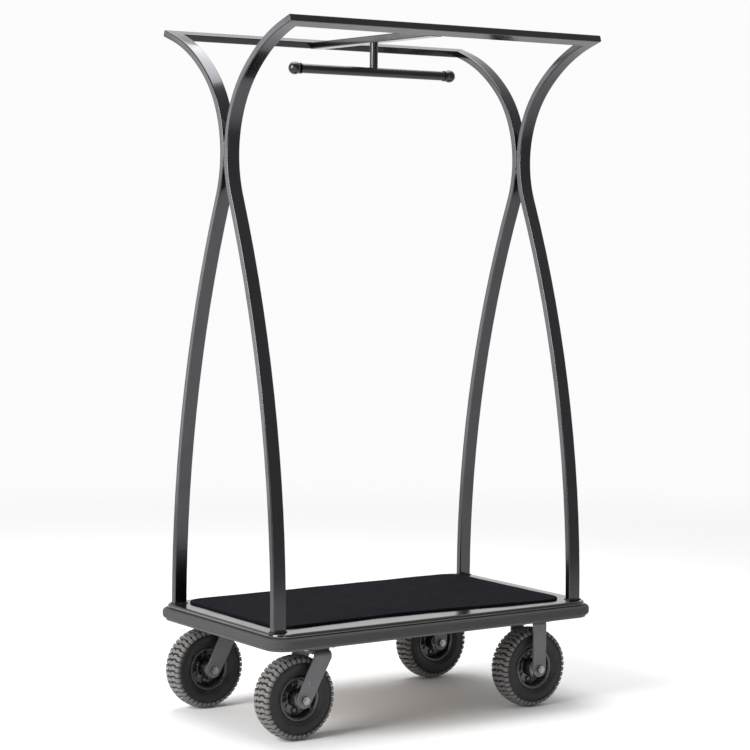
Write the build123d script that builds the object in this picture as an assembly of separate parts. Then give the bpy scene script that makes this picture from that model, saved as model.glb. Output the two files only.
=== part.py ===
"""Hotel luggage cart: a carpeted deck on four pneumatic casters under a bent-tube frame.

Millimetres, +Z up. The origin is on the floor under the middle of the deck, +X runs along
the deck's length to the end with the rigid casters, and -Y is the front long side.
"""
import os
from math import atan, cos, radians, sin, tan

from build123d import *

# --- Wheels -------------------------------------------------------------------------------
TYRE_OD = 218.0
TYRE_WIDTH = 66.0
RIM_SEAT_R = 52.0
RIM_FLANGE_R = 58.0
RIM_WIDTH = 55.0
RIM_WALL = 2.5
WEB_T = 5.0
WEB_WINDOW_R = 7.0
WEB_WINDOW_PCR = 35.5
RIM_BOLT_PCR = 30.0
RIM_BOLT_R = 3.0
HUB_R = 21.0
HUB_LENGTH = 52.0
BEARING_R = 16.0
BEARING_WIDTH = 10.0
AXLE_R = 6.0
SPOKE_COUNT = 4
VALVE_R = 4.0
VALVE_Y = -13.0
VALVE_TILT = 22.0

# --- Caster brackets ----------------------------------------------------------------------
LEG_GAP = 94.0
LEG_T = 5.0
LEG_EYE_R = 21.5
PLATE_L = 114.0
PLATE_T = 5.0
SWIVEL_TRAIL = 58.0
SWIVEL_STACK = 13.0
SWIVEL_TOP_R = 42.0
RACE_R = 36.0
KINGPIN_R = 6.0
PLATE_BOLT_X = 84.0
PLATE_BOLT_Y = 60.0
BOLT_R = 4.0
BOLT_HEAD_T = 5.0
NUT_T = 6.5

# --- Deck ---------------------------------------------------------------------------------
DECK_TOP = 286.0
DECK_LENGTH = 1022.0
DECK_WIDTH = 595.0
DECK_CORNER_R = 46.0
DECK_HEIGHT = 44.0
SHEET_T = 3.0
BEAD_H = 9.0
BEAD_OUT = 4.0
LIP_T = 5.0
LIP_OUT = 9.0
GROOVE = 3.0
BUMPER_OUT = 14.0
CARPET_INSET_X = 53.0
CARPET_INSET_Y = 36.5
CARPET_SHIFT = 11.0
CARPET_CORNER_R = 50.0
CARPET_T = 6.0
CARPET_LAP = 66.0
BOARD_T = 15.0
CHANNEL_W = 130.0

# --- Caster positions ---------------------------------------------------------------------
SWIVEL_X = -358.0
RIGID_X = 346.0
CASTER_INSET = 68.5

# --- Bent-tube frame ----------------------------------------------------------------------
TUBE_W = 38.0
TUBE_T = 19.0
TUBE_WALL = 1.5
FRAME_INSET_X = 11.0
FRAME_INSET_Y = 34.0
WAIST_RISE = 1212.0
TIP_RISE = 1544.0
TIP_HALF_SPREAD = 320.0
TIP_ANGLE = 72.0
BEND_CHANGE_ANGLE = 45.0
TIP_STRAIGHT = 45.0
WAIST_GAP = 0.4
GASKET_T = 2.0
GASKET_LIP = 2.5
PLUG_H = 20.0

# --- Crossbar and hanger ------------------------------------------------------------------
CROSSBAR_X = -30.0
HANGER_DROP = 88.0
HANGER_HALF = 253.0
HANGER_R = 12.5
STEM_R = 11.0
BALL_R = 17.0
COLLAR_R = 14.5
COLLAR_T = 4.0

# --- Fits ---------------------------------------------------------------------------------
RUN = 0.05
SEAT = 0.1
HOLE = 0.5

# --- Sizes that follow from the ones above ------------------------------------------------
TYRE_R = TYRE_OD / 2
DECK_BASE = DECK_TOP - DECK_HEIGHT
LEG_OUT = LEG_GAP / 2 + LEG_T
PLATE_W = 2 * LEG_OUT
CASTER_Y = DECK_WIDTH / 2 - CASTER_INSET
FORK_TOP = DECK_BASE - TYRE_R
HALF_X = DECK_LENGTH / 2 - FRAME_INSET_X
POST_X = HALF_X - TUBE_W / 2
POST_Y = DECK_WIDTH / 2 - FRAME_INSET_Y - TUBE_T / 2
POST_Z = DECK_TOP + GASKET_T

SOLIDS = {}


# --- Shared shapes ------------------------------------------------------------------------
def slab(length, width, corner, low, high):
    """A rounded rectangular slab centred on the Z axis between two heights."""
    return Pos(0, 0, low) * extrude(RectangleRounded(length, width, corner), high - low)


def rod(radius, low, high):
    """A round bar on the Z axis between two heights."""
    return Pos(0, 0, low) * extrude(Circle(radius), high - low)


def hexagon(across_flats, low, high):
    """A hexagonal prism on the Z axis between two heights."""
    outline = RegularPolygon(across_flats / 2, 6, major_radius=False)
    return Pos(0, 0, low) * extrude(outline, high - low)


def turned(points):
    """A solid turned about the Y axis from (radius, y) points."""
    outline = make_face(Polyline(*points, close=True))
    return revolve(outline, Axis.Y)


def four_corners(shape, half_x, half_y):
    """Four copies of one shape at the corners of a rectangle."""
    return [Pos(x, y, 0) * shape for x in (-half_x, half_x) for y in (-half_y, half_y)]


# --- Deck ---------------------------------------------------------------------------------
def deck_half(out):
    """Length, width and corner radius of the deck plan grown outwards by a distance."""
    return DECK_LENGTH + 2 * out, DECK_WIDTH + 2 * out, DECK_CORNER_R + out


def make_deck():
    """The pressed perimeter frame, its board, carpet, bumper and two cross members."""
    skirt = slab(*deck_half(-BEAD_OUT), DECK_BASE, DECK_TOP - 1)
    bead = slab(*deck_half(0), DECK_TOP - BEAD_H, DECK_TOP)
    bead = fillet(bead.faces().sort_by(Axis.Z)[-1].edges(), BEAD_H * 0.7)
    lip = slab(*deck_half(LIP_OUT - BEAD_OUT), DECK_BASE, DECK_BASE + LIP_T)
    inside = slab(*deck_half(-BEAD_OUT - SHEET_T), DECK_BASE - 1, DECK_TOP - SHEET_T)
    carpet_l = DECK_LENGTH - 2 * CARPET_INSET_X
    carpet_w = DECK_WIDTH - 2 * CARPET_INSET_Y
    mouth_l = carpet_l - 2 * CARPET_LAP
    mouth_w = carpet_w - 2 * (CARPET_LAP + CARPET_SHIFT)
    mouth = slab(mouth_l, mouth_w, 12, DECK_TOP - BEAD_H, DECK_TOP + 1)
    holes = four_corners(rod(BOLT_R + HOLE, DECK_TOP - BEAD_H, DECK_TOP + 1), POST_X, POST_Y)
    SOLIDS["deck_frame"] = (skirt + bead + lip) - [inside, mouth, *holes]

    gap = 2 * SEAT
    board = slab(mouth_l - gap, mouth_w - gap, 12 - SEAT, DECK_TOP - BOARD_T, DECK_TOP)
    SOLIDS["deck_board"] = board
    carpet = slab(carpet_l, carpet_w, CARPET_CORNER_R, DECK_TOP, DECK_TOP + CARPET_T)
    carpet = fillet(carpet.faces().sort_by(Axis.Z)[-1].edges(), CARPET_T * 0.3)
    SOLIDS["carpet"] = Pos(0, CARPET_SHIFT, 0) * carpet

    low = DECK_BASE + LIP_T
    high = DECK_TOP - BEAD_H - GROOVE
    bumper = slab(*deck_half(BUMPER_OUT), low, high)
    rims = bumper.faces().sort_by(Axis.Z)
    bumper = fillet(rims[-1].edges() + rims[0].edges(), (high - low) * 0.36)
    SOLIDS["bumper"] = bumper - slab(*deck_half(SEAT - BEAD_OUT), low - 1, high + 1)

    for name, x in (("left", SWIVEL_X), ("right", RIGID_X)):
        SOLIDS[f"cross_member_{name}"] = make_channel(x)


def make_channel(x):
    """A channel across the deck, open upwards, drilled for one pair of caster plates."""
    length = DECK_WIDTH - 2 * (BEAD_OUT + SHEET_T + SEAT)
    top = DECK_TOP - BOARD_T
    height = top - DECK_BASE
    outer = Pos(0, 0, DECK_BASE + height / 2) * Box(CHANNEL_W, length, height)
    core = Pos(0, 0, top) * Box(CHANNEL_W - 2 * SHEET_T, length + 2, 2 * (height - SHEET_T))
    drill = rod(BOLT_R + HOLE, DECK_BASE - 1, DECK_BASE + SHEET_T + 1)
    holes = [Pos(0, y, 0) * hole
             for y in (-CASTER_Y, CASTER_Y)
             for hole in four_corners(drill, PLATE_BOLT_X / 2, PLATE_BOLT_Y / 2)]
    return Pos(x, 0, 0) * (outer - [core, *holes])


# --- Bent-tube frame ----------------------------------------------------------------------
class PostPath:
    """The upright's centreline in the YZ plane: three tangent arcs and a straight tip.

    A heading is the angle from +Z towards the outside. An offset is measured outwards.
    """

    def __init__(self):
        waist_y = (TUBE_T + WAIST_GAP) / 2
        tip = radians(TIP_ANGLE)
        change = radians(BEND_CHANGE_ANGLE)
        lean = 2 * atan((POST_Y - waist_y) / WAIST_RISE)
        out = TIP_HALF_SPREAD - waist_y - TIP_STRAIGHT * sin(tip)
        up = TIP_RISE - WAIST_RISE - TIP_STRAIGHT * cos(tip)
        a, b = 1 - cos(change), cos(change) - cos(tip)
        c, d = sin(change), sin(tip) - sin(change)
        waist_r = (out * d - up * b) / (a * d - b * c)
        upper_r = (a * up - c * out) / (a * d - b * c)
        lower_r = WAIST_RISE / sin(lean) - waist_r
        self.start = (POST_Y, POST_Z)
        self.heading = tip
        self.arcs = []
        point, heading = self.start, 0.0
        for radius, end in ((-lower_r, -lean), (waist_r, change), (upper_r, tip)):
            centre = (point[0] + radius * cos(heading), point[1] - radius * sin(heading))
            self.arcs.append((centre, radius, heading, end))
            point = self.on_arc(centre, radius, end, 0)
            heading = end
        self.bend_end = point
        self.tip = (point[0] + TIP_STRAIGHT * sin(tip), point[1] + TIP_STRAIGHT * cos(tip))

    @staticmethod
    def on_arc(centre, radius, heading, offset):
        """The point at a heading on one arc, moved outwards by an offset."""
        reach = radius - offset
        return centre[0] - reach * cos(heading), centre[1] + reach * sin(heading)

    def side(self, offset):
        """The edges of a line that runs beside the centreline, from the foot to the tip."""
        edges = []
        for centre, radius, start, end in self.arcs:
            stops = (start, (start + end) / 2, end)
            edges.append(ThreePointArc(*[self.on_arc(centre, radius, h, offset) for h in stops]))
        normal = (cos(self.heading) * offset, -sin(self.heading) * offset)
        points = [(p[0] + normal[0], p[1] + normal[1]) for p in (self.bend_end, self.tip)]
        edges.append(Line(*points))
        return edges

    def strip(self, half, low, high):
        """A strip of given half thickness along the whole path between two X positions."""
        inner, outer = self.side(-half), self.side(half)
        foot = Line(inner[0] @ 0, outer[0] @ 0)
        cap = Line(inner[-1] @ 1, outer[-1] @ 1)
        face = make_face([*inner, cap, *outer, foot])
        return Pos(low, 0, 0) * extrude(Plane.YZ * face, high - low)

    def corner_plane(self):
        """The plane of a top corner: X inwards from the outer face, Y along the tip."""
        origin = (-HALF_X, self.tip[0], self.tip[1])
        return Plane(origin, x_dir=(1, 0, 0), z_dir=(0, -cos(self.heading), sin(self.heading)))


def mirrored(solid, side_x, side_y):
    """The back left solid carried to another corner by the signs of X and Y."""
    if side_x > 0:
        solid = mirror(solid, Plane.YZ)
    if side_y < 0:
        solid = mirror(solid, Plane.XZ)
    return solid


def make_posts(path):
    """Four hollow uprights, cut at 45 degrees where the top rails meet them."""
    outer = path.strip(TUBE_T / 2, -HALF_X, TUBE_W - HALF_X)
    bore = path.strip(TUBE_T / 2 - TUBE_WALL, TUBE_WALL - HALF_X, TUBE_W - TUBE_WALL - HALF_X)
    far = TUBE_W + 10
    wedge = make_face(Polyline((-10, 10), (far, -far), (far, 10), close=True))
    cutter = path.corner_plane() * extrude(wedge, TUBE_T, both=True)
    post = outer - bore - cutter
    for name_x, side_x in (("left", -1), ("right", 1)):
        for name_y, side_y in (("back", 1), ("front", -1)):
            SOLIDS[f"upright_{name_y}_{name_x}"] = mirrored(post, side_x, side_y)

    for side in (-1, 1):
        key = "left" if side < 0 else "right"
        SOLIDS[f"waist_weld_{key}"] = make_weld(path, side)


def make_weld(path, side):
    """Two weld beads in the cusps above and below the waist of one end."""
    z = POST_Z + WAIST_RISE
    strip = path.strip(TUBE_T / 2, -HALF_X, TUBE_W - HALF_X)
    tubes = [strip, mirror(strip, Plane.XZ)]
    beads = []
    for centre in (z - 28, z + 28):
        block = Pos(TUBE_W / 2 - HALF_X, 0, centre) * Box(TUBE_W - 3, TUBE_T, 10)
        parts = (block - tubes).solids()
        beads.append(parts.sort_by(lambda s: abs(s.center().Y))[0])
    return [mirrored(bead, side, 1) for bead in beads]


def make_rails(path):
    """The two top rails with mitred ends, and the crossbar between them."""
    long = 2 * HALF_X
    wall = TUBE_WALL
    outer = [(0, 0), (long, 0), (long - TUBE_W, -TUBE_W), (TUBE_W, -TUBE_W)]
    deep = TUBE_W - wall
    inner = [(wall, -wall), (long - wall, -wall), (long - deep, -deep), (deep, -deep)]
    tube = extrude(make_face(Polyline(*outer, close=True)), TUBE_T / 2, both=True)
    bore = extrude(make_face(Polyline(*inner, close=True)), TUBE_T / 2 - wall, both=True)
    rail = path.corner_plane() * (tube - bore)
    SOLIDS["top_rail_back"] = rail
    SOLIDS["top_rail_front"] = mirror(rail, Plane.XZ)

    reach = path.tip[0] - TUBE_W * sin(path.heading)
    level = path.tip[1] - TUBE_W * cos(path.heading)
    solids = []
    for half, width in ((TUBE_T / 2, TUBE_W), (TUBE_T / 2 - wall, TUBE_W - 2 * wall)):
        shift = half / tan(path.heading)
        top, low = level + half, level - half
        points = [(shift - reach, top), (reach - shift, top),
                  (reach + shift, low), (-reach - shift, low)]
        face = Plane.YZ * make_face(Polyline(*points, close=True))
        solids.append(Pos(CROSSBAR_X, 0, 0) * extrude(face, width / 2, both=True))
    SOLIDS["crossbar"] = solids[0] - solids[1]
    return level - TUBE_T / 2


def make_feet():
    """A gasket, a threaded plug and a bolt under each upright."""
    hole = rod(BOLT_R + HOLE, DECK_TOP - 1, POST_Z + 1)
    length = TUBE_W + 2 * GASKET_LIP
    gasket = slab(length, TUBE_T + 2 * GASKET_LIP, GASKET_LIP, DECK_TOP, POST_Z) - hole
    plug = slab(TUBE_W - 2 * (TUBE_WALL + SEAT), TUBE_T - 2 * (TUBE_WALL + SEAT), 1,
                POST_Z, POST_Z + PLUG_H)
    plug = plug - rod(BOLT_R + RUN, POST_Z - 1, POST_Z + PLUG_H + 1)
    seat = DECK_TOP - SHEET_T
    bolt = hexagon(13, seat - BOLT_HEAD_T, seat) + rod(BOLT_R, seat - 1, POST_Z + PLUG_H - 3)
    for name, shape in (("gaskets", gasket), ("plugs", plug), ("bolts", bolt)):
        SOLIDS[f"upright_{name}"] = four_corners(shape, POST_X, POST_Y)


def make_hanger(ceiling):
    """The round bar that garments hang from, its two ball ends and its stem."""
    level = ceiling + TUBE_T / 2 - HANGER_DROP
    end = HANGER_HALF - BALL_R + COLLAR_T / 2 - 1
    half = end - COLLAR_T
    bore_r = HANGER_R - 2
    bar = Rot(0, 90, 0) * (rod(HANGER_R, -half, half) - rod(bore_r, -half - 1, half + 1))
    stem = rod(STEM_R, level, ceiling) - Pos(0, 0, level) * Rot(0, 90, 0) * rod(
        HANGER_R + RUN, -2 * STEM_R, 2 * STEM_R)
    SOLIDS["hanger_stem"] = Pos(CROSSBAR_X, 0, 0) * stem
    SOLIDS["hanger_bar"] = Pos(CROSSBAR_X, 0, level) * bar
    head = Pos(0, 0, HANGER_HALF) * Sphere(BALL_R)
    head = head - rod(BALL_R, HANGER_HALF - 2 * BALL_R, end - 0.5)
    ball = head + rod(COLLAR_R, half, end) + rod(bore_r - SEAT, half - 20, end)
    for name, turn in (("left", -90), ("right", 90)):
        SOLIDS[f"hanger_ball_{name}"] = Pos(CROSSBAR_X, 0, level) * Rot(0, turn, 0) * ball


# --- Wheels and casters -------------------------------------------------------------------
def make_tyre():
    """A hollow pneumatic tyre section turned about the Y axis."""
    half = TYRE_WIDTH / 2
    foot = RIM_SEAT_R + SEAT
    edge = RIM_WIDTH / 2 - RIM_WALL - SEAT
    rise = TYRE_R - foot
    crown = (TYRE_R - 0.09 * rise, 0.84 * half)
    outside = [(foot + 0.12 * rise, edge), (foot + 0.26 * rise, 0.94 * half),
               (foot + 0.5 * rise, half), (foot + 0.74 * rise, 0.96 * half), crown]
    inside = [(foot + 0.1 * rise, edge - 6), (foot + 0.28 * rise, 0.78 * half),
              (foot + 0.5 * rise, 0.84 * half), (foot + 0.72 * rise, 0.74 * half)]
    top = inside[-1][0] + 0.1 * rise
    edges = []
    for sign in (-1, 1):
        outer = [(r, sign * y) for r, y in outside]
        inner = [(r, sign * y) for r, y in inside]
        toe = [outer[0], (foot, sign * edge), (foot, sign * (edge - 6)), inner[0]]
        edges += [Spline(*outer), Polyline(*toe), Spline(*inner)]
    edges.append(ThreePointArc((crown[0], -crown[1]), (TYRE_R, 0), crown))
    last = inside[-1]
    edges.append(ThreePointArc((last[0], -last[1]), (top, 0), last))
    return revolve(make_face(edges), Axis.Y)


def make_rim(valve_turn):
    """A pressed rim with a drilled web, a hub bored for two bearings and a valve hole."""
    half = RIM_WIDTH / 2
    barrel = turned([(RIM_SEAT_R - RIM_WALL, -half), (RIM_FLANGE_R, -half),
                     (RIM_FLANGE_R, RIM_WALL - half), (RIM_SEAT_R, RIM_WALL - half),
                     (RIM_SEAT_R, half - RIM_WALL), (RIM_FLANGE_R, half - RIM_WALL),
                     (RIM_FLANGE_R, half), (RIM_SEAT_R - RIM_WALL, half)])
    web = across(rod(RIM_SEAT_R - 1, -WEB_T / 2, WEB_T / 2))
    hub = across(rod(HUB_R, -HUB_LENGTH / 2, HUB_LENGTH / 2))
    cuts = [across(rod(BEARING_R - 3, -HUB_LENGTH, HUB_LENGTH))]
    deep = HUB_LENGTH / 2 - BEARING_WIDTH - SEAT
    cuts += [across(rod(BEARING_R, deep, HUB_LENGTH)), across(rod(BEARING_R, -HUB_LENGTH, -deep))]
    window = across(rod(WEB_WINDOW_R, -WEB_T, WEB_T))
    hole = across(rod(RIM_BOLT_R + 0.2, -WEB_T, WEB_T))
    step = 360 / SPOKE_COUNT
    for i in range(SPOKE_COUNT):
        cuts.append(spun(Pos(WEB_WINDOW_PCR, 0, 0) * window, i * step))
        cuts.append(spun(Pos(RIM_BOLT_PCR, 0, 0) * hole, (i + 0.5) * step))
    cuts.append(valve_shape(rod(VALVE_R + SEAT, -8, 12), valve_turn))
    return (barrel + web + hub) - cuts


def across(shape):
    """A shape built on the Z axis laid along the Y axis."""
    return Rot(90, 0, 0) * shape


def spun(shape, angle):
    """A wheel shape turned about the Y axis."""
    return Rot(0, angle, 0) * shape


def valve_shape(shape, turn):
    """A shape on Z, from the rim's barrel at z = 0 inwards, put at the valve's place."""
    return spun(Pos(RIM_SEAT_R, VALVE_Y, 0) * Rot(0, -90, 0) * Rot(VALVE_TILT, 0, 0) * shape, turn)


def make_wheel(turn):
    """The parts that spin together, centred on the origin with the axle along Y."""
    step = 360 / SPOKE_COUNT
    grip = WEB_T / 2
    bolt = hexagon(10, grip, grip + 4) + rod(RIM_BOLT_R, -grip - 7, grip + 1)
    nut = hexagon(10, -grip - 5, -grip) - rod(RIM_BOLT_R + RUN, -grip - 6, -grip + 1)
    pairs = [spun(Pos(RIM_BOLT_PCR, 0, 0) * across(part), (i + 0.5) * step)
             for part in (bolt, nut) for i in range(SPOKE_COUNT)]
    ring = rod(BEARING_R - SEAT / 5, 0, BEARING_WIDTH) - rod(AXLE_R + RUN, -1, BEARING_WIDTH + 1)
    place = HUB_LENGTH / 2 - BEARING_WIDTH
    bearings = [across(Pos(0, 0, z) * ring) for z in (place, -place - BEARING_WIDTH)]
    stem = rod(VALVE_R, -3, 17) + rod(VALVE_R - 0.8, 16, 26)
    return {"tyre": make_tyre(), "rim": make_rim(turn), "rim_bolts": pairs,
            "bearings": bearings, "valve": valve_shape(stem, turn)}


def make_axle():
    """The axle bolt with its nut, and the two spacers between bearings and legs."""
    bolt = rod(AXLE_R, -LEG_OUT - 11, LEG_OUT + 1) + hexagon(19, LEG_OUT, LEG_OUT + 7)
    nut = hexagon(19, -LEG_OUT - 9, -LEG_OUT) - rod(AXLE_R + RUN, -LEG_OUT - 10, -LEG_OUT + 1)
    low = HUB_LENGTH / 2 + 0.3
    sleeve = rod(AXLE_R + 3, low, LEG_GAP / 2) - rod(AXLE_R + RUN, 0, LEG_GAP)
    spacers = [across(sleeve), across(mirror(sleeve, Plane.XY))]
    return {"axle": [Rot(-90, 0, 0) * bolt, Rot(-90, 0, 0) * nut], "spacers": spacers}


def make_fork(top, shift, foot_w):
    """A U-shaped bracket over the wheel: legs from the axle up to a flat top.

    top is the height of its top over the axle, shift how far the top sits along X, and
    foot_w the length of the leg's head.
    """
    tall = top + LEG_EYE_R + 10
    wide = 2 * (abs(shift) + foot_w)
    outer = Pos(0, 0, top - tall / 2) * Box(wide, PLATE_W, tall)
    outer = fillet(outer.edges().filter_by(Axis.X).group_by(Axis.Z)[-1], 12)
    inner = Pos(0, 0, top - LEG_T - tall / 2) * Box(wide + 2, LEG_GAP, tall)
    inner = fillet(inner.edges().filter_by(Axis.X).group_by(Axis.Z)[-1], 12 - LEG_T)
    head = Pos(shift, top - 8) * Rectangle(foot_w, 20)
    outline = make_hull(Circle(LEG_EYE_R).edges() + head.edges())
    side = extrude(Plane.XZ * outline, PLATE_W, both=True)
    eye = across(rod(AXLE_R + RUN, -PLATE_W, PLATE_W))
    return (outer - inner) & side - eye


def make_plate(top):
    """A drilled caster plate whose upper face is at a height."""
    plate = slab(PLATE_L, PLATE_W, 8, top - PLATE_T, top)
    drill = rod(BOLT_R + HOLE, top - PLATE_T - 1, top + 1)
    return plate - four_corners(drill, PLATE_BOLT_X / 2, PLATE_BOLT_Y / 2)


def make_swivel():
    """The plate, kingpin and raked fork of a swivel caster, with the axle at the origin."""
    under = FORK_TOP - PLATE_T
    crown = FORK_TOP - SWIVEL_STACK
    race = rod(RACE_R, crown + 0.3, under + 1) - rod(KINGPIN_R + 12, crown, under + 2)
    plate = make_plate(FORK_TOP) + race
    pocket = rod(KINGPIN_R + 5, FORK_TOP - 3, FORK_TOP + 1)
    bore = rod(KINGPIN_R + RUN, crown - 20, FORK_TOP + 1)
    plate = plate - [pocket, bore]
    floor = crown - LEG_T - 0.3
    pin = rod(KINGPIN_R, floor - 10, FORK_TOP - 1) + rod(KINGPIN_R + 4.8, FORK_TOP - 3, FORK_TOP)
    pin = pin + hexagon(19, floor - 8, floor)
    place = Pos(SWIVEL_TRAIL, 0, 0)
    disc = place * rod(SWIVEL_TOP_R, crown - LEG_T, crown)
    fork = make_fork(crown, SWIVEL_TRAIL, 46) + disc - place * bore
    return {"plate": place * plate, "kingpin": place * pin, "fork": fork}


def make_rigid():
    """The one-piece bracket of a rigid caster, with the axle at the origin."""
    return {"fork": make_fork(FORK_TOP, 0, 44) + make_plate(FORK_TOP)}


def make_casters():
    """Four casters with their own fasteners to the cross members."""
    shapes = {-1: make_swivel(), 1: make_rigid()}
    centres = {-1: SWIVEL_X - SWIVEL_TRAIL, 1: RIGID_X}
    turns = {("front", -1): 36, ("back", -1): 315, ("front", 1): 305, ("back", 1): 305}
    for (name_y, side), turn in turns.items():
        name_x = "left" if side < 0 else "right"
        y = -CASTER_Y if name_y == "front" else CASTER_Y
        parts = {**shapes[side], **make_axle(), **make_wheel(turn)}
        place = Pos(centres[side], y, TYRE_R)
        for name, shape in parts.items():
            moved = [place * s for s in shape] if isinstance(shape, list) else place * shape
            SOLIDS[f"caster_{name_y}_{name_x}_{name}"] = moved

    low = DECK_BASE - PLATE_T
    bolt = hexagon(13, low - BOLT_HEAD_T, low) + rod(BOLT_R, low - 1, DECK_BASE + SHEET_T + 9)
    seat = DECK_BASE + SHEET_T
    nut = hexagon(13, seat, seat + NUT_T) - rod(BOLT_R + RUN, seat - 1, seat + NUT_T + 1)
    for name, shape in (("bolts", bolt), ("nuts", nut)):
        SOLIDS[f"caster_plate_{name}"] = [
            Pos(x, y, 0) * copy
            for x in (SWIVEL_X, RIGID_X) for y in (-CASTER_Y, CASTER_Y)
            for copy in four_corners(shape, PLATE_BOLT_X / 2, PLATE_BOLT_Y / 2)]


def main():
    """Build every node and write one STEP file for each."""
    make_deck()
    path = PostPath()
    make_posts(path)
    ceiling = make_rails(path)
    make_feet()
    make_hanger(ceiling)
    make_casters()
    os.makedirs("parts", exist_ok=True)
    for name, shape in SOLIDS.items():
        if isinstance(shape, list):
            shape = Compound([s for part in shape for s in part.solids()])
        export_step(shape, f"parts/{name}.step")


if __name__ == "__main__":
    main()
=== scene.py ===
"""Luggage cart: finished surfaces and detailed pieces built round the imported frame."""

import logging
import math
from dataclasses import dataclass
from enum import Enum
from typing import Iterable, Sequence

import bmesh
import bpy
from mathutils import Matrix, Vector


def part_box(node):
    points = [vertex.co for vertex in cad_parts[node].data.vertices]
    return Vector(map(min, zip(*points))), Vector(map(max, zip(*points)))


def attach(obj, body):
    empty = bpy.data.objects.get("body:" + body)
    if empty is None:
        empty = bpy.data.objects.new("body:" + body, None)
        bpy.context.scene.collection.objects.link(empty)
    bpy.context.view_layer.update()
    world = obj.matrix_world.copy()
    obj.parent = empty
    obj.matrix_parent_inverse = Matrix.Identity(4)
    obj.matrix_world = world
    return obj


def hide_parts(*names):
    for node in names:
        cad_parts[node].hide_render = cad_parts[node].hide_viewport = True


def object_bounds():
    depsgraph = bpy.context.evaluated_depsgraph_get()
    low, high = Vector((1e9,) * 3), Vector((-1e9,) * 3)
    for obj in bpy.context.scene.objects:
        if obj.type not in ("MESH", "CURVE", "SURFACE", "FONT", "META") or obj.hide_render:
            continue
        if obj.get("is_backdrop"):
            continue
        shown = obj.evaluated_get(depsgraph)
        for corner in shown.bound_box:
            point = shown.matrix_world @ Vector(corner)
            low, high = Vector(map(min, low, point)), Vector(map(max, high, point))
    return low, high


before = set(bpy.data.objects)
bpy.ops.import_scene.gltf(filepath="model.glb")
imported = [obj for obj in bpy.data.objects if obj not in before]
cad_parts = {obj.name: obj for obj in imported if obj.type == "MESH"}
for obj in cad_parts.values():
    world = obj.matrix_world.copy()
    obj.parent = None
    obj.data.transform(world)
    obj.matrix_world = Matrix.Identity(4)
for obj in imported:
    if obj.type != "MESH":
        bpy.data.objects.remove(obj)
CAD_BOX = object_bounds()

LOG = logging.getLogger("luggage_cart")
MERGE = 1e-6
Colour = tuple[float, float, float, float]
Point = tuple[float, float, float]
Profile = tuple[tuple[float, float], ...]


def grey(level: float, warmth: float = 0.0) -> Colour:
    """A near-neutral colour, a little warmer or cooler.

    Args:
        level: Linear brightness.
        warmth: Share added to red and taken from blue.

    Returns:
        The colour with full alpha.
    """
    return (level * (1 + warmth), level, level * (1 - warmth), 1.0)


# --- Shader tools ---------------------------------------------------------------------------
class Signal:
    """A number that varies over a surface and is used in sums like a plain number."""

    def __init__(self, graph: "Graph", socket: bpy.types.NodeSocket) -> None:
        """Wrap one output socket.

        Args:
            graph: The graph that the socket belongs to.
            socket: The output that carries the number.
        """
        self.graph = graph
        self.socket = socket

    def _math(self, operation: str, *values: "Signal | float") -> "Signal":
        """Add one Math node.

        Args:
            operation: The Math node's operation.
            values: Its operands, in order.

        Returns:
            The node's result.
        """
        inputs = dict(enumerate(values))
        node = self.graph.node("ShaderNodeMath", {"operation": operation}, inputs)
        return Signal(self.graph, node.outputs[0])

    def __add__(self, other: "Signal | float") -> "Signal":
        """Sum of this and another number."""
        return self._math("ADD", self, other)

    __radd__ = __add__

    def __sub__(self, other: "Signal | float") -> "Signal":
        """This less another number."""
        return self._math("SUBTRACT", self, other)

    def __rsub__(self, other: "Signal | float") -> "Signal":
        """Another number less this."""
        return self._math("SUBTRACT", other, self)

    def __mul__(self, other: "Signal | float") -> "Signal":
        """Product of this and another number."""
        return self._math("MULTIPLY", self, other)

    __rmul__ = __mul__

    def between(self, low: float, high: float) -> "Signal":
        """Rise smoothly from 0 at low to 1 at high.

        Args:
            low: The value that gives 0.
            high: The value that gives 1.

        Returns:
            The eased and clamped number.
        """
        node = self.graph.node(
            "ShaderNodeMapRange",
            {"interpolation_type": "SMOOTHSTEP", "clamp": True},
            {"Value": self, "From Min": low, "From Max": high},
        )
        return Signal(self.graph, node.outputs[0])


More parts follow.
